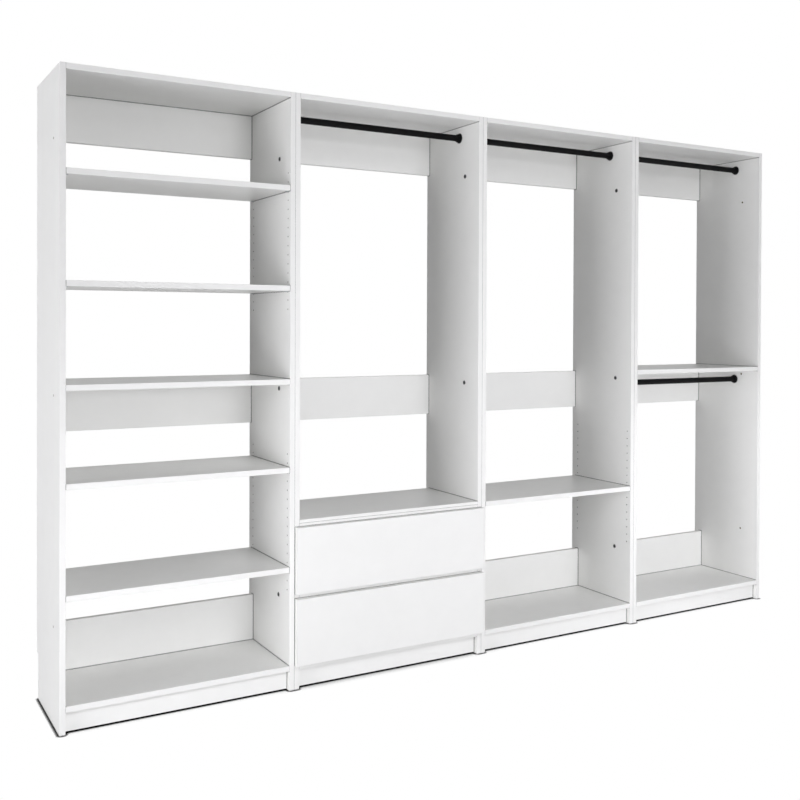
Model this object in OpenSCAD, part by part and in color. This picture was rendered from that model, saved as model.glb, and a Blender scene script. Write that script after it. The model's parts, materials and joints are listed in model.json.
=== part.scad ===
// Freestanding closet system in white melamine-faced board. Four equal towers
// stand side by side and are bolted together. From left to right they are a
// shelf tower, a drawer tower with a rod over two drawers, a long hanging
// tower with a rod over one shelf, and a double hanging tower with two rods.
// Millimetres, +Z up, the room side is -Y, and the origin is on the floor
// under the middle of the row.

/* [Towers] */
// Width of one tower over its two side panels
tower_w = 800; // [600:1:1000]
// Height of the towers
tower_h = 2108; // [2000:1:2300]
// Depth of the side panels from front edge to back edge
carcass_d = 385; // [350:1:500]
// Thickness of the carcass boards
board_t = 19; // [16:0.5:22]
// Radius of the arrises on the banded edges
band_r = 1; // [0.5:0.1:2]

/* [Base] */
// Height of the bottom panels above the floor
base_h = 70; // [60:1:110]
// Distance of the toe kicks behind the front edges
kick_setback = 20; // [10:1:60]
// Gap between the toe kicks and the floor, so that the side panels stand firm
kick_gap = 4; // [0:0.5:10]
// Depth of the notch that lets the side panels pass the room's baseboard
notch_d = 25; // [15:1:40]
// Height of that notch
notch_h = 155; // [110:1:200]

/* [Rails and fixed shelves] */
// Height of the top and middle back rails
rail_h = 165; // [120:1:200]
// Height of the low back rails
low_rail_h = 172; // [120:1:200]
// Level of the fixed shelves' undersides, where the middle rails end
mid_z = 1081; // [1000:1:1200]

/* [Adjustable shelves] */
// Distance from one shelf pin hole to the next
hole_pitch = 32; // [25:0.5:36]
// Diameter of the shelf pin holes
hole_d = 5; // [4:0.1:7]
// Depth of the shelf pin holes
hole_depth = 12; // [8:0.5:14]
// Holes in one column
hole_count = 16; // [14:1:18]
// Level of the lowest hole in the lower columns
lower_hole_z = 354; // [300:1:420]
// Level of the lowest hole in the upper columns
upper_hole_z = 1346; // [1250:1:1400]
// Distance of the front columns from the front edge
hole_front = 22; // [20:1:60]
// Distance of the back columns from the back edge
hole_back = 37; // [30:1:80]
// Gap between an adjustable shelf and the panel at each end
shelf_gap = 1; // [0.5:0.1:2]

/* [Hanging rods] */
// Outer diameter of the rods
rod_d = 25; // [20:0.5:32]
// Wall of the rod tube
rod_wall = 1.2; // [0.8:0.1:2.5]
// Distance of the rods behind the front edges
rod_setback = 140; // [110:1:220]
// Drop from the board above a rod to its middle
rod_drop = 45; // [35:1:90]
// Diameter of the flange of a rod cup
cup_d = 38; // [36:0.5:50]
// Length of a rod cup
cup_l = 13; // [9:0.5:20]

/* [Drawers] */
// Thickness of the drawer fronts
front_t = 19; // [16:0.5:22]
// Height of a drawer front
front_h = 237; // [200:1:280]
// Gap between the fronts, where fingers pull
finger_gap = 16; // [12:0.5:30]
// Gap between the upper front and the deck
top_gap = 12; // [8:0.5:25]
// Part of a side panel's front edge left bare beside a front
front_reveal = 1.5; // [1:0.1:4]
// Gap between a closed front and the carcass
front_clear = 1.5; // [1:0.1:3]
// Height by which the lower front covers the bottom panel's edge
front_lap = 2; // [0:0.5:10]
// Thickness of the deck over the drawers
deck_t = 12; // [9:0.5:19]
// Height of the cross rails in front of the drawer boxes
cross_rail_h = 40; // [30:1:50]
// Thickness of the drawer box boards
box_t = 12; // [10:0.5:16]
// Thickness of the drawer bottoms
bottom_t = 6; // [4:0.5:8]

/* [Runners] */
// Room for a runner between a drawer box and the side panel
runner_t = 12.7; // [12.5:0.1:14]
// Height of a runner's cabinet member
runner_h = 45; // [42:1:52]
// Thickness of the runner steel
runner_steel = 1.2; // [1:0.1:1.5]
// Diameter of the bearing balls
ball_d = 4; // [3:0.1:4.5]

/* [Connector bolts] */
// Diameter of the connector bores
connector_d = 9; // [7:0.5:11]
// Distance of the connector bores behind the front edges
connector_setback = 98; // [70:1:110]
// Level of the lowest connector bores
connector_low_z = 319; // [290:1:340]
// Drop from the fixed shelves to the middle connector bores
connector_mid_drop = 19; // [15:1:30]
// Drop from the top of the towers to the highest connector bores
connector_top_drop = 222; // [150:1:260]
// Diameter of the connector bolts' heads
connector_head_d = 14; // [12.5:0.5:18]

/* [Hidden] */

// Places of the towers in the row, counted from the left
shelf_tower_index = 0;
drawer_tower_index = 1;
long_hang_tower_index = 2;
double_hang_tower_index = 3;
tower_count = 4;

// The two ends of a tower, left and right
ends = [0, 1];

// Colours as the photograph shows them
board_white = [0.94, 0.94, 0.93];
box_white = [0.90, 0.90, 0.88];
rod_black = [0.05, 0.05, 0.055];
plated_steel = [0.66, 0.67, 0.68];
dark_steel = [0.30, 0.30, 0.31];

// One overrun serves every cut
over = 1;
// Flat facets that stand for the round of a small arris
arris_steps = 3;
$fn = 48;

// Overall sizes and levels that follow from the sizes above
front_proud = front_t + front_clear;
overall_d = carcass_d + front_proud;
front_y = front_proud - overall_d / 2;
back_y = front_y + carcass_d;
row_w = tower_count * tower_w;
clear_w = tower_w - 2 * board_t;
bottom_d = carcass_d - notch_d;
bottom_top_z = base_h + board_t;
top_z = tower_h - board_t;
low_rail_y = back_y - notch_d - board_t;
high_rail_y = back_y - board_t;
kick_y = front_y + kick_setback;
kick_h = base_h - kick_gap;
rod_y = front_y + rod_setback;
shelf_d = carcass_d - board_t;
hole_ys = [front_y + hole_front, back_y - hole_back];

// Which hole of its column carries each adjustable shelf, counted from 0
shelf_1_hole_index = 13;
shelf_2_hole_index = 2;
shelf_3_hole_index = 13;
shelf_4_hole_index = 2;
long_shelf_hole_index = 7;
shelf_1_z = upper_hole_z + shelf_1_hole_index * hole_pitch;
shelf_2_z = upper_hole_z + shelf_2_hole_index * hole_pitch;
shelf_3_z = lower_hole_z + shelf_3_hole_index * hole_pitch;
shelf_4_z = lower_hole_z + shelf_4_hole_index * hole_pitch;
long_shelf_z = lower_hole_z + long_shelf_hole_index * hole_pitch;
shelf_tower_levels = [shelf_1_z, shelf_2_z, shelf_3_z, shelf_4_z];

// Each rod's tower, and the underside of the board above the rod
rod_boards = [
    [drawer_tower_index, top_z], [long_hang_tower_index, top_z],
    [double_hang_tower_index, top_z], [double_hang_tower_index, mid_z]
];

// Connector bolts and their levels
connector_levels = [
    connector_low_z, mid_z - connector_mid_drop, tower_h - connector_top_drop
];
connector_y = front_y + connector_setback;
connector_play = 0.2;
connector_head_t = 1.6;
connector_wall = 1.3;
connector_thread_play = 0.1;
connector_end_gap = 3;
connector_key = 5;
connector_key_depth = 1;

// Cam locks: the pocket opens on a face of the board that is out of sight,
// and the bolt runs from the side panel along the middle of the board
cam_d = 15;
cam_play = 0.2;
cam_skin = 5;
cam_sink = 0.5;
cam_reach = 34;
cam_throat_d = 7;
cam_slot_l = 9;
cam_slot_w = 1.8;
cam_slot_depth = 2;
cam_bore_d = 8;
cam_shank_d = 6;
cam_neck_d = 4;
cam_neck_l = 5;
cam_head_d = 6.4;
cam_head_l = 3;
cam_thread_d = 5;
cam_thread_l = 11;
cam_inset = 50;
cam_rail_inset = 40;

// Shelf pins: a stem in the hole and a flat spoon under the shelf
pin_play = 0.2;
pin_stem = 10;
pin_spoon_w = 8;
pin_spoon_l = 10;
pin_spoon_t = 1.6;
pin_rib_t = 1.6;
pin_rib_h = 5;

// Rod cups
cup_flange_t = 3;
cup_wall = 3;
cup_play = 0.25;
cup_round = 1;
cup_screw_offset = 7;

// Drawers
lower_front_z = bottom_top_z - front_lap;
front_step = front_h + finger_gap;
front_w = tower_w - 2 * front_reveal;
deck_z = lower_front_z + front_step + front_h + top_gap;
gap_middle_z = lower_front_z + front_h + finger_gap / 2;
cross_rail_levels = [
    gap_middle_z - cross_rail_h / 2, deck_z - cross_rail_h
];
box_foot_gap = 14;
box_head_gap = 18;
box_tail_gap = 20;
box_lift = (cross_rail_h - finger_gap) / 2 + box_foot_gap;
box_h = front_h + top_gap - cross_rail_h - box_head_gap - box_lift;
box_front_y = front_y - front_clear;
box_back_y = low_rail_y - box_tail_gap;
box_l = box_back_y - box_front_y;
box_w = clear_w - 2 * runner_t;
box_clear_w = box_w - 2 * box_t;
box_x = -row_w / 2 + drawer_tower_index * tower_w + board_t + runner_t;
box_edge_r = 0.8;
groove_rise = 10;
groove_depth = 6;
groove_end_gap = 0.3;
groove_play = 0.2;
screw_d = 4;
screw_head_d = 8;
screw_head_h = 2.4;
screw_slot_w = 1.2;
screw_slot_depth = 1.2;
screw_bite = 12;
screw_corner_bite = 26;
screw_inset = 30;
screw_front_inset = 88;
screw_fitting_l = 14;
screw_member_l = 10;

// Runners: three nested steel channels with rows of balls between them. The
// outer rows stay in the back half of the middle member and the inner rows in
// its front half, so both stay inside their races when the drawer is out.
runner_rise = 60;
runner_setback = 6;
runner_end_gap = 15;
runner_l = box_l - front_clear - runner_setback - runner_end_gap;
runner_screw_inset = 36;
runner_screw_ys = [runner_screw_inset, runner_l - runner_screw_inset];
runner_lip = 2;
runner_air = 1.2;
cabinet_air = 1.9;
race_play = 0.3;
cabinet_depth = runner_t - runner_steel - cabinet_air;
outer_ball_z = runner_h / 2 - runner_steel - race_play - ball_d / 2;
middle_half_h = outer_ball_z - ball_d / 2 - race_play;
inner_ball_z = middle_half_h - runner_steel - race_play - ball_d / 2;
drawer_half_h = inner_ball_z - ball_d / 2 - race_play;
middle_x = runner_steel + runner_air;
middle_depth = cabinet_depth - middle_x - race_play;
drawer_member_x = middle_x + runner_steel + runner_air;
outer_ball_x = cabinet_depth / 2;
inner_ball_x = (drawer_member_x + middle_x + middle_depth) / 2;
ball_rows = 4;
ball_pitch_share = 0.08;
ball_end_share = 0.04;
ball_pitch = runner_l * ball_pitch_share;

// Left outer face of a tower, and the inner face at its left or right end
function tower_x(tower) = tower * tower_w - row_w / 2;
function inner_x(tower, end) =
    tower_x(tower) + board_t + end * clear_w;

// Level of a drawer front's lower edge: the lower drawer is 0, the upper is 1
function front_z(drawer) = lower_front_z + drawer * front_step;
function box_z(drawer) = front_z(drawer) + box_lift;

// A round corner as a few points on a quarter circle
quarter_turn = 90;
function corner(x, y, r, from) = [
    for (step = [0 : arris_steps])
        let (a = from + quarter_turn * step / arris_steps)
            [x + r * cos(a), y + r * sin(a)]
];

// Section of a board whose front edge, at x = 0, has two round arrises
function banded(depth, t, r) = concat(
    corner(r, t - r, r, 90), corner(r, r, r, 180),
    [[depth, 0], [depth, t]]
);

// The same section with depth and thickness swapped
function swapped(points) = [for (p = points) [p.y, p.x]];

// Section of a steel channel that opens towards +X, with inward lips
function channel(half_h, depth, t, lip) = [
    [0, -half_h], [depth, -half_h], [depth, lip - half_h],
    [depth - t, lip - half_h], [depth - t, t - half_h], [t, t - half_h],
    [t, half_h - t], [depth - t, half_h - t], [depth - t, half_h - lip],
    [depth, half_h - lip], [depth, half_h], [0, half_h]
];

// Cam joints at one end of a board, each as [y, z, turn]. The turn brings the
// pocket's mouth from facing up to the face that is out of sight.
mouth_up = 0;
mouth_down = 180;
mouth_back = -90;
function flat_joints(z, depth, turn) = [
    [front_y + cam_inset, z + board_t / 2, turn],
    [front_y + depth - cam_inset, z + board_t / 2, turn]
];
function rail_joints(y, z, height) = [
    [y + board_t / 2, z + cam_rail_inset, mouth_back],
    [y + board_t / 2, z + height - cam_rail_inset, mouth_back]
];
top_joints = flat_joints(top_z, carcass_d, mouth_up);
bottom_joints = flat_joints(base_h, bottom_d, mouth_down);
fixed_shelf_joints = flat_joints(mid_z, carcass_d, mouth_down);
kick_joints = [[kick_y + board_t / 2, kick_gap + kick_h / 2, mouth_back]];
rails_joints = concat(
    rail_joints(high_rail_y, top_z - rail_h, rail_h),
    rail_joints(high_rail_y, mid_z - rail_h, rail_h),
    rail_joints(low_rail_y, bottom_top_z, low_rail_h)
);
cross_rail_joints = [
    for (z = cross_rail_levels)
        [front_y + board_t / 2, z + cross_rail_h / 2, mouth_back]
];
function has_fixed_shelf(tower) =
    tower == shelf_tower_index || tower == double_hang_tower_index;
function tower_joints(tower) = concat(
    top_joints, bottom_joints, kick_joints, rails_joints,
    has_fixed_shelf(tower) ? fixed_shelf_joints : [],
    tower == drawer_tower_index ? cross_rail_joints : []
);

// Shelf pins of a tower, each as [y, z]
function pin_places(levels, ys) = [for (z = levels, y = ys) [y, z]];
function tower_pins(tower) =
    tower == shelf_tower_index ? pin_places(shelf_tower_levels, hole_ys)
    : tower == long_hang_tower_index ? pin_places([long_shelf_z], hole_ys)
    : tower == drawer_tower_index ? pin_places([deck_z], [hole_ys[1]])
    : [];

// Starts of a tower's columns of shelf pin holes
function column_starts(tower) =
    tower == shelf_tower_index ? [lower_hole_z, upper_hole_z]
    : tower == long_hang_tower_index ? [lower_hole_z]
    : [];

// Extrusions of a section along X and along Y
module along_x(length) {
    rotate([90, 0, 90]) linear_extrude(length) children();
}
module along_y(length) {
    translate([0, length, 0]) rotate([90, 0, 0])
        linear_extrude(length) children();
}

// Puts its children at an inner face of a tower, with +X into the tower
module at_face(tower, end, y, z) {
    translate([inner_x(tower, end), y, z]) mirror([end, 0, 0]) children();
}

// Puts its children at both ends of a board, at each of its cam joints
module at_joints(tower, joints, at_ends = ends) {
    for (joint = joints, end = at_ends)
        at_face(tower, end, joint[0], joint[1])
            rotate([joint[2], 0, 0]) children();
}

// A cylinder that runs from the face into the board, or out of it
module bore_in(d, depth) {
    rotate([0, 90, 0]) cylinder(d = d, h = depth);
}
module bore_out(d, depth) {
    rotate([0, -90, 0]) cylinder(d = d, h = depth);
}

// Room for a cam lock and its bolt in the end of a board
module cam_room() {
    translate([-over, 0, 0]) bore_in(cam_bore_d, over + cam_reach);
    translate([cam_reach, 0, cam_skin - board_t / 2])
        cylinder(d = cam_d + cam_play, h = board_t);
}

// Boards that lie between the side panels, with a banded front edge
module lying_board(tower, z, depth, t = board_t, gap = 0) {
    translate([inner_x(tower, 0) + gap, front_y, z])
        along_x(clear_w - 2 * gap) polygon(banded(depth, t, band_r));
}

// Boards that stand on edge between the side panels
module standing_board(tower, y, z, height) {
    translate([inner_x(tower, 0), y, z])
        along_x(clear_w) polygon(banded(board_t, height, band_r));
}

module side_panel(tower, end) {
    color(board_white) difference() {
        translate([tower_x(tower) + end * (tower_w - board_t), front_y, 0])
            linear_extrude(tower_h)
                polygon(swapped(banded(carcass_d, board_t, band_r)));
        // Notch for the room's baseboard
        at_face(tower, end, back_y - notch_d, -over)
            translate([-board_t - over, 0, 0])
                cube([board_t + 2 * over, notch_d + over, notch_h + over]);
        // Bores for the connector bolts
        for (z = connector_levels)
            at_face(tower, end, connector_y, z) translate([over, 0, 0])
                bore_out(connector_d, board_t + 2 * over);
        // Columns of shelf pin holes
        for (start = column_starts(tower), y = hole_ys)
            for (hole = [0 : hole_count - 1])
                at_face(tower, end, y, start + hole * hole_pitch)
                    translate([over, 0, 0])
                        bore_out(hole_d, hole_depth + over);
        // Two single holes for the pins behind the drawer tower's deck
        if (tower == drawer_tower_index)
            for (place = tower_pins(tower))
                at_face(tower, end, place[0], place[1])
                    translate([over, 0, 0])
                        bore_out(hole_d, hole_depth + over);
        // Holes for the screws of the rod cups and the runners
        for (place = rod_boards)
            if (place[0] == tower)
                at_face(tower, end, rod_y, place[1] - rod_drop)
                    at_cup_screws() screw_room(screw_fitting_l);
        if (tower == drawer_tower_index)
            for (drawer = [0, 1])
                at_cabinet_screws(drawer, [end]) screw_room(screw_fitting_l);
        // Holes for the cam bolts' threads
        at_joints(tower, tower_joints(tower), [end])
            translate([over, 0, 0])
                bore_out(cam_thread_d, cam_thread_l + over);
    }
}

module top_panel(tower) {
    color(board_white) difference() {
        lying_board(tower, top_z, carcass_d);
        at_joints(tower, top_joints) cam_room();
    }
}

module bottom_panel(tower) {
    color(board_white) difference() {
        lying_board(tower, base_h, bottom_d);
        at_joints(tower, bottom_joints) cam_room();
    }
}

module toe_kick(tower) {
    color(board_white) difference() {
        standing_board(tower, kick_y, kick_gap, kick_h);
        at_joints(tower, kick_joints) cam_room();
    }
}

module back_rails(tower) {
    color(board_white) difference() {
        union() {
            standing_board(tower, high_rail_y, top_z - rail_h, rail_h);
            standing_board(tower, high_rail_y, mid_z - rail_h, rail_h);
            standing_board(tower, low_rail_y, bottom_top_z, low_rail_h);
        }
        at_joints(tower, rails_joints) cam_room();
    }
}

module fixed_shelf(tower) {
    color(board_white) difference() {
        lying_board(tower, mid_z, carcass_d);
        at_joints(tower, fixed_shelf_joints) cam_room();
    }
}

module adjustable_shelf(tower, z) {
    color(board_white) lying_board(tower, z, shelf_d, gap = shelf_gap);
}

module drawer_deck() {
    color(board_white) lying_board(drawer_tower_index, deck_z, shelf_d, deck_t);
}

module cross_rails() {
    color(board_white) difference() {
        for (z = cross_rail_levels)
            standing_board(drawer_tower_index, front_y, z, cross_rail_h);
        at_joints(drawer_tower_index, cross_rail_joints) cam_room();
    }
}

// A rod's tube stands in the two cups, clear of their floors by the play
module rod(tower, board_z) {
    rod_l = clear_w - 2 * (cup_flange_t + cup_play);
    color(rod_black)
        translate([
            inner_x(tower, 0) + cup_flange_t + cup_play, rod_y,
            board_z - rod_drop
        ])
            difference() {
                bore_in(rod_d, rod_l);
                translate([-over, 0, 0])
                    bore_in(rod_d - 2 * rod_wall, rod_l + 2 * over);
            }
}

// A cup is turned about X: a round flange on the panel and a socket wall. Two
// countersunk screws go through its floor, above and below the rod's middle.
module at_cup_screws() {
    for (side = [-1, 1])
        translate([cup_flange_t, 0, side * cup_screw_offset])
            rotate([0, 90, 0]) children();
}
module rod_cup() {
    bore_r = rod_d / 2 + cup_play;
    difference() {
        rotate([0, 90, 0]) rotate_extrude() polygon(concat(
            [[0, 0], [cup_d / 2, 0]],
            corner(cup_d / 2 - cup_round, cup_flange_t - cup_round,
                   cup_round, 0),
            corner(bore_r + cup_wall - cup_round, cup_l - cup_round,
                   cup_round, 0),
            [[bore_r, cup_l], [bore_r, cup_flange_t], [0, cup_flange_t]]
        ));
        at_cup_screws() screw_room(screw_fitting_l);
    }
}

module rod_cups() {
    color(rod_black)
        for (place = rod_boards, end = ends)
            at_face(place[0], end, rod_y, place[1] - rod_drop) rod_cup();
}

module shelf_pin() {
    bore_out(hole_d - pin_play, pin_stem);
    translate([0, -pin_spoon_w / 2, -pin_spoon_t])
        cube([pin_spoon_l, pin_spoon_w, pin_spoon_t]);
    translate([0, -pin_rib_t / 2, 0]) along_y(pin_rib_t)
        polygon([[0, 0], [pin_spoon_l, 0], [0, -pin_rib_h]]);
}

module shelf_pins() {
    color(plated_steel)
        for (tower = [0 : tower_count - 1], end = ends)
            for (place = tower_pins(tower))
                at_face(tower, end, place[0], place[1]) shelf_pin();
}

// A connector bolt is a sleeve with a flat head and a screw in it, and it
// clamps the two side panels between its heads
module connector_head() {
    difference() {
        cylinder(d = connector_head_d, h = connector_head_t);
        translate([0, 0, connector_head_t - connector_key_depth])
            cylinder(d = connector_key, h = connector_head_t, $fn = 6);
    }
}
module connector_sleeve() {
    sleeve_d = connector_d - connector_play;
    sleeve_l = 2 * board_t - connector_end_gap;
    connector_head();
    difference() {
        translate([0, 0, -sleeve_l]) cylinder(d = sleeve_d, h = sleeve_l);
        translate([0, 0, -sleeve_l - over]) cylinder(
            d = sleeve_d - 2 * connector_wall,
            h = sleeve_l + over - connector_end_gap
        );
    }
}
module connector_screw() {
    screw_l = 2 * board_t - 2 * connector_end_gap;
    connector_head();
    translate([0, 0, -screw_l]) cylinder(
        d = connector_d - connector_play
            - 2 * (connector_wall + connector_thread_play),
        h = screw_l
    );
}
module connector_bolts() {
    color(dark_steel)
        for (tower = [0 : tower_count - 2], z = connector_levels) {
            at_face(tower, 1, connector_y, z)
                rotate([0, 90, 0]) connector_sleeve();
            at_face(tower + 1, 0, connector_y, z)
                rotate([0, 90, 0]) connector_screw();
        }
}

// A cam lock is a disc with a throat for the bolt's head and a crossed slot
module cam_lock() {
    cam_foot = cam_skin - board_t / 2;
    cam_face = board_t / 2 - cam_sink;
    translate([cam_reach, 0, 0]) difference() {
        translate([0, 0, cam_foot]) cylinder(d = cam_d, h = cam_face - cam_foot);
        translate([-cam_d, 0, 0]) bore_in(cam_throat_d, cam_d + cam_head_l);
        for (turn = [45, 135])
            translate([0, 0, cam_face]) rotate(turn)
                cube([cam_slot_l, cam_slot_w, 2 * cam_slot_depth],
                     center = true);
    }
}
module cam_bolt() {
    bore_out(cam_thread_d, cam_thread_l);
    bore_in(cam_shank_d, cam_reach - cam_neck_l);
    bore_in(cam_neck_d, cam_reach);
    translate([cam_reach, 0, 0]) bore_out(cam_head_d, cam_head_l / 2);
    translate([cam_reach, 0, 0]) bore_in(cam_head_d, cam_head_l / 2);
}
module cam_locks() {
    color(plated_steel)
        for (tower = [0 : tower_count - 1])
            at_joints(tower, tower_joints(tower)) cam_lock();
}
module cam_bolts() {
    color(plated_steel)
        for (tower = [0 : tower_count - 1])
            at_joints(tower, tower_joints(tower)) cam_bolt();
}

// Countersunk screw: its head is level with z = 0 and it points down
module countersunk_screw(length) {
    difference() {
        screw_room(length);
        for (turn = [0, 90])
            rotate(turn)
                cube([screw_head_d - 2 * screw_slot_w, screw_slot_w,
                      2 * screw_slot_depth], center = true);
    }
}
module screw_room(length) {
    translate([0, 0, -screw_head_h]) cylinder(
        d1 = screw_d, d2 = screw_head_d, h = screw_head_h
    );
    translate([0, 0, -length]) cylinder(d = screw_d, h = length);
}

// Screws through the box sides into the inner front and the back
module at_corner_screws(drawer) {
    for (end = ends, y = [box_front_y + box_t / 2, box_back_y - box_t / 2])
        for (z = [screw_inset, box_h - screw_inset])
            translate([box_x + end * box_w, y, box_z(drawer) + z])
                mirror([end, 0, 0]) rotate([0, -90, 0]) children();
}
// Screws through the inner front into the drawer front
module at_front_screws(drawer) {
    for (x = [screw_front_inset, box_w - screw_front_inset])
        for (z = [screw_inset, box_h - screw_inset])
            translate([box_x + x, box_front_y + box_t, box_z(drawer) + z])
                rotate([-90, 0, 0]) children();
}

module drawer_front(drawer) {
    color(board_white) difference() {
        translate([
            tower_x(drawer_tower_index) + front_reveal, box_front_y - front_t,
            front_z(drawer)
        ])
            intersection() {
                along_x(front_w) polygon(banded(front_t, front_h, band_r));
                linear_extrude(front_h)
                    polygon(swapped(banded(front_t, front_w, band_r)));
            }
        at_front_screws(drawer) screw_room(box_t + screw_bite);
    }
}

// Room for the drawer bottom in the boards around it
module bottom_groove(drawer) {
    translate([
        box_x + box_t - groove_depth, box_front_y - over,
        box_z(drawer) + groove_rise
    ])
        cube([
            box_clear_w + 2 * groove_depth, box_l + 2 * over,
            bottom_t + groove_play
        ]);
}

// Section of a box board, with its two top arrises eased
function eased_top(t, height, r) = concat(
    [[0, 0], [t, 0]],
    corner(t - r, height - r, r, 0), corner(r, height - r, r, 90)
);

// Screws through the runners' drawer members into the box sides
module at_member_screws(drawer) {
    at_runners(drawer)
        for (y = runner_screw_ys)
            translate([runner_t - runner_steel, y, 0])
                rotate([0, -90, 0]) children();
}

module drawer_sides(drawer) {
    color(box_white) difference() {
        for (end = ends)
            translate([
                box_x + end * (box_w - box_t), box_front_y, box_z(drawer)
            ])
                along_y(box_l)
                    polygon(eased_top(box_t, box_h, box_edge_r));
        bottom_groove(drawer);
        at_corner_screws(drawer) screw_room(box_t + screw_corner_bite);
        at_member_screws(drawer) screw_room(screw_member_l);
    }
}

// The boards across the box, between its sides
module box_crosspiece(drawer, y) {
    translate([box_x + box_t, y, box_z(drawer)])
        along_x(box_clear_w) polygon(eased_top(box_t, box_h, box_edge_r));
}
module drawer_inner_front(drawer) {
    color(box_white) difference() {
        box_crosspiece(drawer, box_front_y);
        crosspiece_groove(drawer, box_front_y + box_t - groove_depth);
        at_corner_screws(drawer) screw_room(box_t + screw_corner_bite);
        at_front_screws(drawer) screw_room(box_t + screw_bite);
    }
}
module drawer_back(drawer) {
    color(box_white) difference() {
        box_crosspiece(drawer, box_back_y - box_t);
        crosspiece_groove(drawer, box_back_y - box_t - over);
        at_corner_screws(drawer) screw_room(box_t + screw_corner_bite);
    }
}
module crosspiece_groove(drawer, y) {
    translate([box_x, y, box_z(drawer) + groove_rise])
        cube([box_w, groove_depth + over, bottom_t + groove_play]);
}

module drawer_bottom(drawer) {
    reach = groove_depth - groove_end_gap;
    color(box_white)
        translate([
            box_x + box_t - reach, box_front_y + box_t - reach,
            box_z(drawer) + groove_rise
        ])
            cube([
                box_clear_w + 2 * reach, box_l - 2 * box_t + 2 * reach,
                bottom_t
            ]);
}

module drawer_screws(drawer) {
    color(plated_steel) {
        at_corner_screws(drawer)
            countersunk_screw(box_t + screw_corner_bite);
        at_front_screws(drawer) countersunk_screw(box_t + screw_bite);
        at_member_screws(drawer) countersunk_screw(screw_member_l);
    }
}

// Puts a runner member at both ends of a drawer, with +X into the tower
module at_runners(drawer) {
    for (end = ends)
        at_face(drawer_tower_index, end, front_y + runner_setback,
                box_z(drawer) + runner_rise)
            children();
}
// Screws through the runners' cabinet members into the side panels
module at_cabinet_screws(drawer, at_ends = ends) {
    for (end = at_ends, y = runner_screw_ys)
        at_face(drawer_tower_index, end, front_y + runner_setback + y,
                box_z(drawer) + runner_rise)
            translate([runner_steel, 0, 0]) rotate([0, 90, 0]) children();
}
module runner_cabinet_members() {
    color(plated_steel)
        for (drawer = [0, 1])
            difference() {
                at_runners(drawer) along_y(runner_l)
                    polygon(channel(runner_h / 2, cabinet_depth, runner_steel,
                                    runner_lip));
                at_cabinet_screws(drawer) screw_room(screw_fitting_l);
            }
}

// The same countersunk screw holds the rod cups and the cabinet members
module fitting_screws() {
    color(plated_steel) {
        for (place = rod_boards, end = ends)
            at_face(place[0], end, rod_y, place[1] - rod_drop)
                at_cup_screws() countersunk_screw(screw_fitting_l);
        for (drawer = [0, 1])
            at_cabinet_screws(drawer) countersunk_screw(screw_fitting_l);
    }
}
module middle_members(drawer) {
    color(plated_steel)
        at_runners(drawer) {
            translate([middle_x, 0, 0]) along_y(runner_l)
                polygon(channel(middle_half_h, middle_depth, runner_steel,
                                runner_steel));
            for (row = [-1, 1], ball = [0 : ball_rows - 1]) {
                translate([
                    outer_ball_x,
                    runner_l * (1 - ball_end_share) - ball * ball_pitch,
                    row * outer_ball_z
                ])
                    sphere(d = ball_d);
                translate([
                    inner_ball_x,
                    runner_l * ball_end_share + ball * ball_pitch,
                    row * inner_ball_z
                ])
                    sphere(d = ball_d);
            }
        }
}
module drawer_members(drawer) {
    color(plated_steel) difference() {
        at_runners(drawer) translate([runner_t, 0, 0]) mirror([1, 0, 0])
            along_y(runner_l)
                polygon(channel(drawer_half_h, runner_t - drawer_member_x,
                                runner_steel, runner_steel));
        at_member_screws(drawer) screw_room(screw_member_l);
    }
}

side_panel(shelf_tower_index, 0);  // shelf_tower_left_side
side_panel(shelf_tower_index, 1);  // shelf_tower_right_side
top_panel(shelf_tower_index);  // shelf_tower_top
bottom_panel(shelf_tower_index);  // shelf_tower_bottom
toe_kick(shelf_tower_index);  // shelf_tower_toe_kick
back_rails(shelf_tower_index);  // shelf_tower_back_rails
fixed_shelf(shelf_tower_index);  // shelf_tower_fixed_shelf
adjustable_shelf(shelf_tower_index, shelf_1_z);  // shelf_tower_shelf_1
adjustable_shelf(shelf_tower_index, shelf_2_z);  // shelf_tower_shelf_2
adjustable_shelf(shelf_tower_index, shelf_3_z);  // shelf_tower_shelf_3
adjustable_shelf(shelf_tower_index, shelf_4_z);  // shelf_tower_shelf_4

side_panel(drawer_tower_index, 0);  // drawer_tower_left_side
side_panel(drawer_tower_index, 1);  // drawer_tower_right_side
top_panel(drawer_tower_index);  // drawer_tower_top
bottom_panel(drawer_tower_index);  // drawer_tower_bottom
toe_kick(drawer_tower_index);  // drawer_tower_toe_kick
back_rails(drawer_tower_index);  // drawer_tower_back_rails
drawer_deck();  // drawer_tower_deck
cross_rails();  // drawer_tower_cross_rails
rod(drawer_tower_index, top_z);  // drawer_tower_rod

side_panel(long_hang_tower_index, 0);  // long_hang_tower_left_side
side_panel(long_hang_tower_index, 1);  // long_hang_tower_right_side
top_panel(long_hang_tower_index);  // long_hang_tower_top
bottom_panel(long_hang_tower_index);  // long_hang_tower_bottom
toe_kick(long_hang_tower_index);  // long_hang_tower_toe_kick
back_rails(long_hang_tower_index);  // long_hang_tower_back_rails
adjustable_shelf(long_hang_tower_index, long_shelf_z);  // long_hang_tower_shelf
rod(long_hang_tower_index, top_z);  // long_hang_tower_rod

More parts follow.
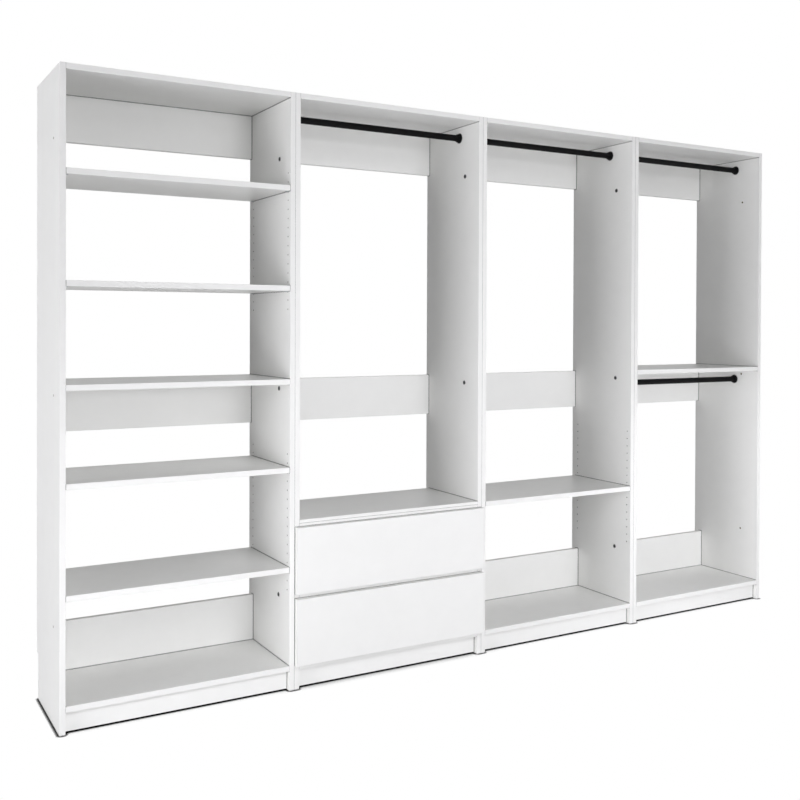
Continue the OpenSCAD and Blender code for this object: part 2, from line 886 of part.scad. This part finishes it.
side_panel(double_hang_tower_index, 0);  // double_hang_tower_left_side
side_panel(double_hang_tower_index, 1);  // double_hang_tower_right_side
top_panel(double_hang_tower_index);  // double_hang_tower_top
bottom_panel(double_hang_tower_index);  // double_hang_tower_bottom
toe_kick(double_hang_tower_index);  // double_hang_tower_toe_kick
back_rails(double_hang_tower_index);  // double_hang_tower_back_rails
fixed_shelf(double_hang_tower_index);  // double_hang_tower_fixed_shelf
rod(double_hang_tower_index, top_z);  // double_hang_tower_upper_rod
rod(double_hang_tower_index, mid_z);  // double_hang_tower_lower_rod

rod_cups();
shelf_pins();
connector_bolts();
cam_locks();
cam_bolts();
runner_cabinet_members();
fitting_screws();

drawer_front(1);  // upper_drawer_front
drawer_sides(1);  // upper_drawer_sides
drawer_inner_front(1);  // upper_drawer_inner_front
drawer_back(1);  // upper_drawer_back
drawer_bottom(1);  // upper_drawer_bottom
drawer_screws(1);  // upper_drawer_screws
drawer_members(1);  // upper_drawer_members
middle_members(1);  // upper_runner_middle_members

drawer_front(0);  // lower_drawer_front
drawer_sides(0);  // lower_drawer_sides
drawer_inner_front(0);  // lower_drawer_inner_front
drawer_back(0);  // lower_drawer_back
drawer_bottom(0);  // lower_drawer_bottom
drawer_screws(0);  // lower_drawer_screws
drawer_members(0);  // lower_drawer_members
middle_members(0);  // lower_runner_middle_members
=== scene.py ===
# %% [markdown]
# # A white freestanding closet, dressed in Blender
#
# The object is a row of four open towers in white melamine-faced board, with
# two drawers, black hanging rods and steel fittings. The construction comes
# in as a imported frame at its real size, so this lesson only adds what the
# eye reads as material: the satin of the board, the powder coat on the rods,
# the zinc on the fittings, and the light that shows them.

# %% Load the frame
import json
import math

import bmesh
import bpy
from mathutils import Matrix, Vector


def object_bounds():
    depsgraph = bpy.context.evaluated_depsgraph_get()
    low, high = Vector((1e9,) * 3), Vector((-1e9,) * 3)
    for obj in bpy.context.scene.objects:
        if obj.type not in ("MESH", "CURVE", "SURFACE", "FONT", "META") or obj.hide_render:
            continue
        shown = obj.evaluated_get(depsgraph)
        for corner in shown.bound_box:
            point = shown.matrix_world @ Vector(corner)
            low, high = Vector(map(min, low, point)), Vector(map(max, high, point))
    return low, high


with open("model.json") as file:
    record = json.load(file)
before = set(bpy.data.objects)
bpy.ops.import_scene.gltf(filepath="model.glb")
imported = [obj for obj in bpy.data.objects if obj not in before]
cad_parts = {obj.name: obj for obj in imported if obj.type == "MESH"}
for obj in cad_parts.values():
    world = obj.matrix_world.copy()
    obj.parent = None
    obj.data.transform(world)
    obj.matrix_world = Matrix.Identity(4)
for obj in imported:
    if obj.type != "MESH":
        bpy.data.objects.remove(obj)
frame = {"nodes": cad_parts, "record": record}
cad_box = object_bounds()
nodes = frame["nodes"]
subparts = frame["record"]["subparts"]
print(len(nodes), "nodes, from", tuple(cad_box[0]), "to", tuple(cad_box[1]))

# %% [markdown]
# ## The camera
#
# A camera is a point, three turns and a focal length. They were found by
# fitting corners of the row, whose places in metres are known, to where the
# photograph shows them. Aiming the camera with a tracking constraint is quick,
# but the photograph's vertical edges stay upright while its horizon lies above
# the middle of the frame, as with a shift lens. So the turns are set as one
# matrix, and a small shift puts the horizon where the photograph has it.

# %% Place the camera
PHOTO_SIDE_PX = 800
FOCAL_PX = 986.6
PRINCIPAL_X_PX = 396.8
PRINCIPAL_Y_PX = 332.8
EYE = Vector((-2.2212, -3.3724, 1.2933))
YAW = math.radians(29.89)
PITCH = math.radians(-0.48)
ROLL = math.radians(0.21)
SENSOR_WIDTH_MM = 36
CLIP_END = 200

view_data = bpy.data.cameras.new("view")
view_data.sensor_width = SENSOR_WIDTH_MM
view_data.lens = FOCAL_PX / PHOTO_SIDE_PX * SENSOR_WIDTH_MM
view_data.shift_x = 0.5 - PRINCIPAL_X_PX / PHOTO_SIDE_PX
view_data.shift_y = PRINCIPAL_Y_PX / PHOTO_SIDE_PX - 0.5
view_data.clip_end = CLIP_END

ahead = Vector((
    math.sin(YAW) * math.cos(PITCH),
    math.cos(YAW) * math.cos(PITCH),
    math.sin(PITCH),
))
level_right = Vector((math.cos(YAW), -math.sin(YAW), 0))
level_up = level_right.cross(ahead)
right = level_right * math.cos(ROLL) + level_up * math.sin(ROLL)
up = level_up * math.cos(ROLL) - level_right * math.sin(ROLL)

view = bpy.data.objects.new("view", view_data)
view.matrix_world = Matrix((
    (right.x, up.x, -ahead.x, EYE.x),
    (right.y, up.y, -ahead.y, EYE.y),
    (right.z, up.z, -ahead.z, EYE.z),
    (0, 0, 0, 1),
))
bpy.context.collection.objects.link(view)
bpy.context.scene.camera = view
print("lens", round(view_data.lens, 2), "mm, shift", round(view_data.shift_y, 4))

# %% [markdown]
# ## Three helpers
#
# Colours are written as the sRGB hex values that a paint chart or a screen
# shows, while the shaders work in linear light. One function converts them,
# so that no colour is typed twice. The second starts an empty material. The
# third adds a node to it, sets its plain inputs and links the rest, which
# keeps each material short enough to read.

# %% Define the helpers
MM = 0.001


def linear(hex_colour):
    """The linear colour of an sRGB hex value, with alpha."""
    parts = [int(hex_colour[i:i + 2], 16) / 255 for i in (0, 2, 4)]
    rgb = [p / 12.92 if p <= 0.04045 else ((p + 0.055) / 1.055) ** 2.4 for p in parts]
    return (*rgb, 1)


def new_material(name):
    """A material with nothing in its node tree."""
    material = bpy.data.materials.new(name)
    material.use_nodes = True
    material.node_tree.nodes.clear()
    return material


def add(material, kind, settings=None, **inputs):
    """Adds a node to a material or a world.

    An input goes by its label, or by its number where labels repeat. Its value
    is a plain one, an output to link, or a node whose first output is linked.
    """
    tree = material.node_tree
    node = tree.nodes.new("ShaderNode" + kind)
    for name, value in (settings or {}).items():
        setattr(node, name, value)
    for name, value in inputs.items():
        label = name.replace("_", " ").strip()
        socket = node.inputs[int(label) if label.isdigit() else label]
        if isinstance(value, bpy.types.Node):
            value = value.outputs[0]
        if isinstance(value, bpy.types.NodeSocket):
            tree.links.new(value, socket)
        else:
            socket.default_value = value
    return node


print("middle grey is", tuple(round(c, 3) for c in linear("808080")))

# %% [markdown]
# ## Boxes of the boards
#
# A board is white only on its outside. Drilled holes, cam pockets and the
# sawn notch show the brown core, and the plastic band on a board's edges ends
# in a hairline beside them. For both, the material has to know where a point
# lies in its own board. One node may hold several boards, so their boxes are
# measured from the mesh: its doubled points are merged in a copy, and each
# connected solid gives one box.

# %% Measure the boards
MERGE_DISTANCE = 0.001 * MM


def solid_boxes(node):
    """The middle and half size of each separate solid in a node of the frame."""
    shell = bmesh.new()
    shell.from_mesh(nodes[node].data)
    bmesh.ops.remove_doubles(shell, verts=shell.verts, dist=MERGE_DISTANCE)
    waiting = set(shell.verts)
    boxes = []
    while waiting:
        reached = [waiting.pop()]
        points = []
        while reached:
            vert = reached.pop()
            points.append(vert.co)
            near = {edge.other_vert(vert) for edge in vert.link_edges} & waiting
            waiting -= near
            reached.extend(near)
        low = Vector([min(point[i] for point in points) for i in range(3)])
        high = Vector([max(point[i] for point in points) for i in range(3)])
        boxes.append(((low + high) / 2, (high - low) / 2))
    shell.free()
    return sorted(boxes, key=lambda box: tuple(box[0]))


rails = solid_boxes("shelf_tower_back_rails")
print(len(rails), "back rails,", round(rails[0][1].y * 2 / MM, 1), "mm thick")

# %% [markdown]
# ## How deep a point lies in its board
#
# The shader knows only the place of the point that it draws. Half the size of
# a box, less the distance from its middle, is the depth under the nearer of
# two opposite faces, and three such depths place the point in its board. The
# least of them says how deep it lies. The two that don't run through the
# board's thickness say how far it is from the edges, and the glue line lies
# where that distance is the thickness of the band. A node's boards are tried
# one after another, starting from a metre off them all.

# %% Find the depths in the shader
BAND_THICKNESS = 1.0 * MM
FAR_OFF = 1.0


def depths_in_boards(material, place, boxes):
    """How deep a point lies in its board, and how far off the nearest glue line is."""
    deepest, nearest_glue = -FAR_OFF, FAR_OFF
    for middle, half in boxes:
        offset = add(
            material, "VectorMath", {"operation": "SUBTRACT"}, _0=place, _1=tuple(middle)
        )
        away = add(material, "VectorMath", {"operation": "ABSOLUTE"}, _0=offset)
        under = add(
            material, "VectorMath", {"operation": "SUBTRACT"}, _0=tuple(half), _1=away
        )
        depths = add(material, "SeparateXYZ", Vector=under).outputs
        through = min(range(3), key=lambda i: half[i])
        first, second = [depths[i] for i in range(3) if i != through]
        from_edge = add(material, "Math", {"operation": "MINIMUM"}, _0=first, _1=second)
        least = add(
            material, "Math", {"operation": "MINIMUM"}, _0=from_edge, _1=depths[through]
        )
        deepest = add(material, "Math", {"operation": "MAXIMUM"}, _0=least, _1=deepest)
        past_band = add(
            material, "Math", {"operation": "SUBTRACT"}, _0=from_edge, _1=BAND_THICKNESS
        )
        off_glue = add(material, "Math", {"operation": "ABSOLUTE"}, _0=past_band)
        nearest_glue = add(
            material, "Math", {"operation": "MINIMUM"}, _0=off_glue, _1=nearest_glue
        )
    return deepest, nearest_glue


print("the glue line lies", round(BAND_THICKNESS / MM, 1), "mm from an edge")

# %% [markdown]
# ## Melamine face
#
# The boards are particle board under a melamine-soaked paper, pressed
# between satin steel plates. The press leaves a faint pearl in the surface,
# about a millimetre across, that breaks up the sheen. A bump from fine noise
# gives that, and a slow noise a few centimetres across varies the roughness
# and the tone a little, as the paper over the uneven chips does. Image
# textures would need the boards unwrapped, while a pattern in object
# coordinates runs on through a board at its real size.

# %% Press the face
PEARL_SIZE = 1.1 * MM
PEARL_DEPTH = 0.05 * MM
PEARL_STRENGTH = 0.15
CLOUD_SIZE = 60 * MM
CLOUD_DETAIL = 3.0
CLOUD_ROUGHNESS = 0.55
SATIN_SPREAD = 0.05


def pressed_face(material, place, face_hex, cloud_hex, roughness):
    """The colour, the roughness and the relief of a melamine face."""
    pearl = add(material, "TexNoise", Vector=place, Scale=1 / PEARL_SIZE)
    relief = add(
        material, "Bump", Height=pearl, Strength=PEARL_STRENGTH, Distance=PEARL_DEPTH
    )
    cloud = add(
        material, "TexNoise", Vector=place, Scale=1 / CLOUD_SIZE,
        Detail=CLOUD_DETAIL, Roughness=CLOUD_ROUGHNESS,
    )
    colour = add(
        material, "MixRGB", Fac=cloud, Color1=linear(face_hex), Color2=linear(cloud_hex)
    )
    satin = add(
        material, "MapRange", Value=cloud,
        To_Min=roughness - SATIN_SPREAD, To_Max=roughness + SATIN_SPREAD,
    )
    return colour, satin, relief


print("pearl", round(PEARL_SIZE / MM, 1), "mm and clouds", round(CLOUD_SIZE / MM), "mm across")

# %% [markdown]
# ## Core and pin holes
#
# Under the paper lie pressed chips of wood, a millimetre or two across.
# Deep in a narrow hole little light gets out again, so the pin holes are painted
# nearly black as painted shade, while the open notch keeps its wood colour. An
# occlusion node with a reach of a few millimetres tells the two apart.

# %% Show the chips
CHIP_SIZE = 1.6 * MM
CORE_DARK = "5E482F"
CORE_PALE = "9C8258"
HOLE_SHADE = "0C0A08"
HOLE_REACH = 6 * MM
HOLE_POWER = 1.5
BOARD_SAMPLES = 4


def chip_core(material, place):
    """The colour of the bare core, with painted shade that makes it nearly black in a narrow
    hole.
    """
    chips = add(material, "TexVoronoi", Vector=place, Scale=1 / CHIP_SIZE)
    bare = add(
        material, "MixRGB", Fac=chips, Color1=linear(CORE_DARK), Color2=linear(CORE_PALE)
    )
    # painted shade: occlusion turns the core nearly black deep in narrow holes
    openness = add(
        material, "AmbientOcclusion", {"samples": BOARD_SAMPLES, "only_local": True},
        Distance=HOLE_REACH,
    )
    out_of_hole_shade = add(
        material, "Math", {"operation": "POWER"}, _0=openness.outputs["AO"], _1=HOLE_POWER
    )
    return add(material, "MixRGB", Fac=out_of_hole_shade, Color1=linear(HOLE_SHADE), Color2=bare)


print("chips", round(CHIP_SIZE / MM, 1), "mm across")

# %% [markdown]
# ## Glue lines and painted shade at joints
#
# The edges carry a plastic band. Its glue line is a tenth of a millimetre, too
# fine to show, so it is drawn three times as wide. Where one board stands
# against the next, the real joint is a hairline of shadow. That is too fine to show
# as well, so a second occlusion node paints shade into the colour over the last few
# millimetres beside it, and beside any other near surface such as the floor.

# %% Draw the lines on the face
GLUE_LINE = 0.3 * MM
GLUE_GREY = "C9C9C7"
CREASE_SHADE_GREY = "3C3C3A"
CREASE_SHADE_REACH = 4 * MM
CREASE_SHADE_POWER = 3.0


def lined_face(material, face, nearest_glue):
    """The colour of a face with painted shade in its creases and joints, and the glue line of
    its band.
    """
    # painted shade: occlusion darkens the colour in creases, beside joints and near the floor
    openness = add(
        material, "AmbientOcclusion", {"samples": BOARD_SAMPLES}, Distance=CREASE_SHADE_REACH
    )
    off_crease_shade = add(
        material, "Math", {"operation": "POWER"}, _0=openness.outputs["AO"], _1=CREASE_SHADE_POWER
    )
    crease_shaded = add(material, "MixRGB", Fac=off_crease_shade, Color1=linear(CREASE_SHADE_GREY), Color2=face)
    on_glue = add(
        material, "Math", {"operation": "LESS_THAN"}, _0=nearest_glue, _1=GLUE_LINE / 2
    )
    return add(material, "MixRGB", Fac=on_glue, Color1=crease_shaded, Color2=linear(GLUE_GREY))


print("a joint darkens the last", round(CREASE_SHADE_REACH / MM), "mm beside it")

# %% [markdown]
# ## Face and core together
#
# A board is the lined face down to the depth of the paper, and the core from
# there on. The resin is a hard plastic with a plastic's index, and its satin
# press mirrors a little less than a polished sheet would.

# %% Put the board material together
PAPER_DEPTH = 0.4 * MM
CORE_ROUGHNESS = 0.9
MELAMINE_IOR = 1.5
MELAMINE_SPECULAR = 0.4


def board_material(name, face_hex, cloud_hex, roughness, boxes):
    """A melamine face with its lines, and the chips of the core under it."""
    material = new_material(name)
    place = add(material, "TexCoord").outputs["Object"]
    face, satin, relief = pressed_face(material, place, face_hex, cloud_hex, roughness)
    deepest, nearest_glue = depths_in_boards(material, place, boxes)
    in_core = add(
        material, "Math", {"operation": "GREATER_THAN"}, _0=deepest, _1=PAPER_DEPTH
    )
    lined = lined_face(material, face, nearest_glue)
    core = chip_core(material, place)
    colour = add(material, "MixRGB", Fac=in_core, Color1=lined, Color2=core)
    rough = add(
        material, "MixRGB", Fac=in_core, Color1=satin, Color2=(CORE_ROUGHNESS,) * 3 + (1,)
    )
    shader = add(
        material, "BsdfPrincipled", Base_Color=colour, Roughness=rough, Normal=relief,
        IOR=MELAMINE_IOR, Specular_IOR_Level=MELAMINE_SPECULAR,
    )
    add(material, "OutputMaterial", Surface=shader)
    return material


print("the core starts", round(PAPER_DEPTH / MM, 1), "mm under a face")

# %% [markdown]
# ## Boards of the carcass and the drawers
#
# Every node of boards gets its own copy of the material, because the boxes of
# its boards are written into it. The drawer boxes are a plainer, slightly
# warmer board than the carcass.

# %% Dress the boards
BOARDS = {
    # slot: what the material is called, its colour, its clouds, its roughness
    "white_board": ("melamine_faced", "F1F1EF", "EDEDEB", 0.42),
    "drawer_board": ("drawer_box", "EEEEEA", "E8E8E4", 0.5),
    "drawer_bottom_board": ("painted_hardboard", "EEEEEA", "E8E8E4", 0.5),
}


def give(node, material):
    """Puts one material on a node of the frame."""
    slots = nodes[node].data.materials
    slots.clear()
    slots.append(material)


dressed = 0
for part in subparts:
    if part["material_slot"] in BOARDS:
        kind, *look = BOARDS[part["material_slot"]]
        boxes = solid_boxes(part["node"])
        give(part["node"], board_material(kind + "_" + part["node"], *look, boxes))
        dressed += len(boxes)
print(dressed, "boards dressed")

# %% [markdown]
# ## A skin for the fittings
#
# Rods, cups, screws and runners are made of different things, but each has a
# fine skin, too small to model, and a gloss that changes slowly across it. A
# fine noise drives the bump and a slow one the roughness, so one function
# serves all of these finishes, and each call says what its own surface is.

# %% Define the skin
SLOW_DETAIL = 3.0


def skinned(name, hex_colour, roughness, spread, cloud, grain, depth, strength, **shading):
    """A finish with a fine skin, and a roughness that wanders by the spread in clouds."""
    material = new_material(name)
    place = add(material, "TexCoord").outputs["Object"]
    skin = add(material, "TexNoise", Vector=place, Scale=1 / grain)
    relief = add(material, "Bump", Height=skin, Strength=strength, Distance=depth)
    slow = add(material, "TexNoise", Vector=place, Scale=1 / cloud, Detail=SLOW_DETAIL)
    rough = add(
        material, "MapRange", Value=slow, To_Min=roughness - spread, To_Max=roughness + spread
    )
    shader = add(
        material, "BsdfPrincipled", Base_Color=linear(hex_colour), Roughness=rough,
        Normal=relief, **shading,
    )
    add(material, "OutputMaterial", Surface=shader)
    return material


print("the slow noise has", round(SLOW_DETAIL), "octaves")

# %% [markdown]
# ## Black rods and cups
#
# The rods are steel tube with a black powder coat. Powder coat is a thick
# plastic film: it has the gloss of a plastic, an orange-peel skin about a
# millimetre across, and no colour of the metal. The cups are moulded in
# black plastic, with a finer, duller spark-eroded grain.

# %% Make the black finishes
BLACK = "060607"
BLACK_LOOK = {
    "spread": 0.06, "cloud": 30 * MM, "strength": 0.35, "Specular_IOR_Level": 0.12,
}

powder_coat = skinned(
    "black_powder_coated_steel", BLACK, roughness=0.52,
    grain=1.2 * MM, depth=0.06 * MM, **BLACK_LOOK,
)
cup_plastic = skinned(
    "black_moulded_plastic", BLACK, roughness=0.6,
    grain=0.4 * MM, depth=0.03 * MM, **BLACK_LOOK,
)
print("made", powder_coat.name, "and", cup_plastic.name)

# %% [markdown]
# ## Steel and zinc
#
# Zinc plating is a thin bright film over rolled steel. It keeps the metal's
# own reflection and clouds slightly where the bath was uneven, so a slow
# noise moves its roughness. Cast zinc is duller, with a sandy skin from the
# die. A burnished head is dark because its oxide drinks the light.

# %% Make the metals
METAL_LOOK = {"spread": 0.08, "strength": 0.3, "Metallic": 1.0}

zinc_plate = skinned(
    "zinc_plated_steel", "C6C9CC", roughness=0.34,
    cloud=12 * MM, grain=0.5 * MM, depth=0.02 * MM, **METAL_LOOK,
)
rolled_zinc = skinned(
    "rolled_zinc_plated_steel", "BFC3C7", roughness=0.30,
    cloud=20 * MM, grain=0.6 * MM, depth=0.02 * MM, **METAL_LOOK,
)
cast_zinc = skinned(
    "die_cast_zinc", "A3A5A8", roughness=0.48,
    cloud=6 * MM, grain=0.35 * MM, depth=0.04 * MM, **METAL_LOOK,
)
burnished = skinned(
    "burnished_steel", "4A4A4C", roughness=0.42,
    cloud=5 * MM, grain=0.4 * MM, depth=0.02 * MM, **METAL_LOOK,
)
metals = (zinc_plate, rolled_zinc, cast_zinc, burnished)
print("made", ", ".join(metal.name for metal in metals))

# %% [markdown]
# ## Fittings
#
# The frame's record names a material slot for every node, and a fitting's slot
# says what it is made of. So one table from slot to finish dresses them all.

# %% Dress the fittings
FINISHES = {
    "black_rod": powder_coat, "black_cup": cup_plastic, "plated_steel": zinc_plate,
    "runner_steel": rolled_zinc, "cast_zinc": cast_zinc, "dark_steel": burnished,
}
fittings = [part for part in subparts if part["material_slot"] in FINISHES]
for part in fittings:
    give(part["node"], FINISHES[part["material_slot"]])
print(len(fittings), "nodes of fittings dressed in", len(FINISHES), "finishes")

# %% [markdown]
# ## White for the eye only
#
# The photograph is a cut-out on pure white. A white world would light the
# object from every side, so white is shown only to the camera and to
# reflections, and all other rays meet a plain pale floor and a dim world.

# %% Tell what is seen from what gives light
SEEN = ("Is Camera Ray", "Is Glossy Ray", "Is Transmission Ray")
WHITE = linear("FFFFFF")


def seen_directly(material):
    """1 for rays from the camera and from reflections, 0 for the light itself."""
    path = add(material, "LightPath")
    total = path.outputs[SEEN[0]]
    for ray in SEEN[1:]:
        total = add(
            material, "Math", {"operation": "MAXIMUM"}, _0=total, _1=path.outputs[ray]
        )
    return total


print("white is shown to", len(SEEN), "kinds of ray")

# %% [markdown]
# ## Floor
#
# The photograph has one thin dark line where the feet and the toe kicks meet
# the floor. Two occlusion nodes give the shadow, by measuring how much of the
# sky over a point is blocked. One looks fifteen centimetres far and darkens
# the floor under the boards, from clear where half of that sky is open to
# black where hardly any is. The other looks only twelve millimetres far and
# draws the line along whatever stands on the floor.

# %% Make the floor
FLOOR_HALF = 30
FLOOR_GREY = "E6E6E6"
FLOOR_SAMPLES = 8
SHELTER_REACH = 0.15
SHELTER_BLACK_AT = 0.15
SHELTER_CLEAR_AT = 0.5
CONTACT_REACH = 12 * MM
CONTACT_POWER = 8.0


def floor_material():
    """Pale and matt for the light, and white with a shadow where it is seen."""
    material = new_material("studio_floor")
    above, beside = [
        add(material, "AmbientOcclusion", {"samples": FLOOR_SAMPLES}, Distance=reach)
        for reach in (SHELTER_REACH, CONTACT_REACH)
    ]
    clear_above = add(
        material, "MapRange", Value=above.outputs["AO"],
        From_Min=SHELTER_BLACK_AT, From_Max=SHELTER_CLEAR_AT,
    )
    clear_beside = add(
        material, "Math", {"operation": "POWER"}, _0=beside.outputs["AO"], _1=CONTACT_POWER
    )
    clear = add(
        material, "Math", {"operation": "MULTIPLY"}, _0=clear_above, _1=clear_beside
    )
    shown = add(material, "Emission", Color=WHITE, Strength=clear)
    matt = add(material, "BsdfDiffuse", Color=linear(FLOOR_GREY))
    choice = add(material, "MixShader", _0=seen_directly(material), _1=matt, _2=shown)
    add(material, "OutputMaterial", Surface=choice)
    return material


floor_mesh = bpy.data.meshes.new("floor")
signs = ((-1, -1), (1, -1), (1, 1), (-1, 1))
corners = [(x * FLOOR_HALF, y * FLOOR_HALF, cad_box[0].z) for x, y in signs]
floor_mesh.from_pydata(corners, [], [(0, 1, 2, 3)])
floor = bpy.data.objects.new("floor", floor_mesh)
floor.data.materials.append(floor_material())
bpy.context.collection.objects.link(floor)
print("floor", 2 * FLOOR_HALF, "m square")

# %% [markdown]
# ## The world
#
# Softboxes are small against a sky, so they decide what is bright, and the
# world only lifts the darkest corners. It is white for the camera and for
# reflections.

# %% Make the world
AMBIENT = 0.05
AMBIENT_TINT = (1, 0.995, 0.97, 1)

world = bpy.data.worlds.new("studio")
bpy.context.scene.world = world
world.use_nodes = True
world.node_tree.nodes.clear()
ambient = add(world, "Background", Color=AMBIENT_TINT, Strength=AMBIENT)
backdrop = add(world, "Background", Color=WHITE, Strength=1.0)
choice = add(world, "MixShader", _0=seen_directly(world), _1=ambient, _2=backdrop)
add(world, "OutputWorld", Surface=choice)
print("ambient light", AMBIENT)

# %% [markdown]
# ## Lamps
#
# In the photograph the drawer fronts and the back rails are even and nearly
# white, and each right-hand wall is bright along its front edge and grey at
# its back. So a large softbox far in front gives the level, a high one reaches
# the tops of the shelves, and one far out on the left grazes the front parts
# of the walls. Four small ones stand near the row: one before the drawers,
# and three low ones before the bottom boards, which are paler than the shelves.
#
# The object is looked at from all sides, so what the photograph hides needs
# light too. A softbox far out on the right lights the walls that face that
# way. One beyond the right end is stopped by the last panel, and one over the
# row by the top panels, so neither reaches the inside. A lamp that shines
# level from behind meets only faces that look backwards.

# %% Choose the lamps
REAR_DIRECTION = (0, -1, 0)
REAR_STRENGTH = 2.0
REAR_SPREAD = math.radians(3)
SOFTBOXES = (
    # name, place, what it points at, width, height, watts
    ("front_softbox", (-0.5, -12.0, 1.5), (0, 0, 1.0), 6.0, 3.0, 375),
    ("high_softbox", (-0.5, -5.0, 3.8), (0, 0, 1.0), 4.0, 2.0, 58),
    ("left_softbox", (-6.0, -1.2, 1.0), (0, 0, 1.0), 2.0, 2.0, 145),
    ("near_softbox", (-0.4, -1.6, 1.2), (0.4, 0, 1.0), 1.2, 0.6, 6.3),
    ("low_left_softbox", (-1.5, -1.1, 0.62), (-1.2, 0, 0.0), 0.8, 0.4, 3.2),
    ("low_right_softbox", (0.9, -1.3, 0.5), (1.0, 0, 0.1), 0.8, 0.4, 3.2),
    ("right_end_softbox", (1.25, -0.6, 0.8), (1.2, 0.1, 0.1), 0.5, 0.3, 0.9),
    ("right_softbox", (6.0, -1.6, 1.0), (0, 0, 1.0), 2.0, 2.0, 60),
    ("right_side_softbox", (3.4, 0.1, 2.2), (1.6, 0.1, 1.0), 0.8, 0.4, 22),
    ("top_softbox", (0, 0, 2.7), (0, 0, 2.1), 3.0, 0.3, 9),
)
print("softboxes of", round(sum(row[-1] for row in SOFTBOXES)), "watts in all")

# %% [markdown]
# ## A lamp that isn't seen
#
# A softbox that shows as a bright patch in the board's sheen would give the
# studio away, so the lamps are left out of reflections, and the white world
# alone gives the gloss. The softboxes' light is white with a trace of blue.

# %% Hang the lamps
DAYLIGHT = (0.97, 0.97, 1.0)


def hang(data, direction, place=(0, 0, 0)):
    """Puts a lamp in the scene, with its own shape out of sight and of reflections."""
    lamp = bpy.data.objects.new(data.name, data)
    lamp.location = place
    lamp.rotation_euler = direction.to_track_quat("-Z", "Y").to_euler()
    lamp.visible_camera = lamp.visible_glossy = False
    bpy.context.collection.objects.link(lamp)


for name, place, target, width, height, watts in SOFTBOXES:
    softbox = bpy.data.lights.new(name, "AREA")
    softbox.shape = "RECTANGLE"
    softbox.size, softbox.size_y = width, height
    softbox.energy = watts
    softbox.color = DAYLIGHT
    hang(softbox, Vector(target) - Vector(place), place)

rear_lamp = bpy.data.lights.new("rear_lamp", "SUN")
rear_lamp.energy = REAR_STRENGTH
rear_lamp.angle = REAR_SPREAD
hang(rear_lamp, Vector(REAR_DIRECTION))
print(len(SOFTBOXES), "softboxes and a rear lamp hung")

# %% [markdown]
# ## Finish
#
# The scene shows its colours through the Standard view transform.

# %% Set the view transform
scene = bpy.context.scene
scene.view_settings.view_transform = "Standard"
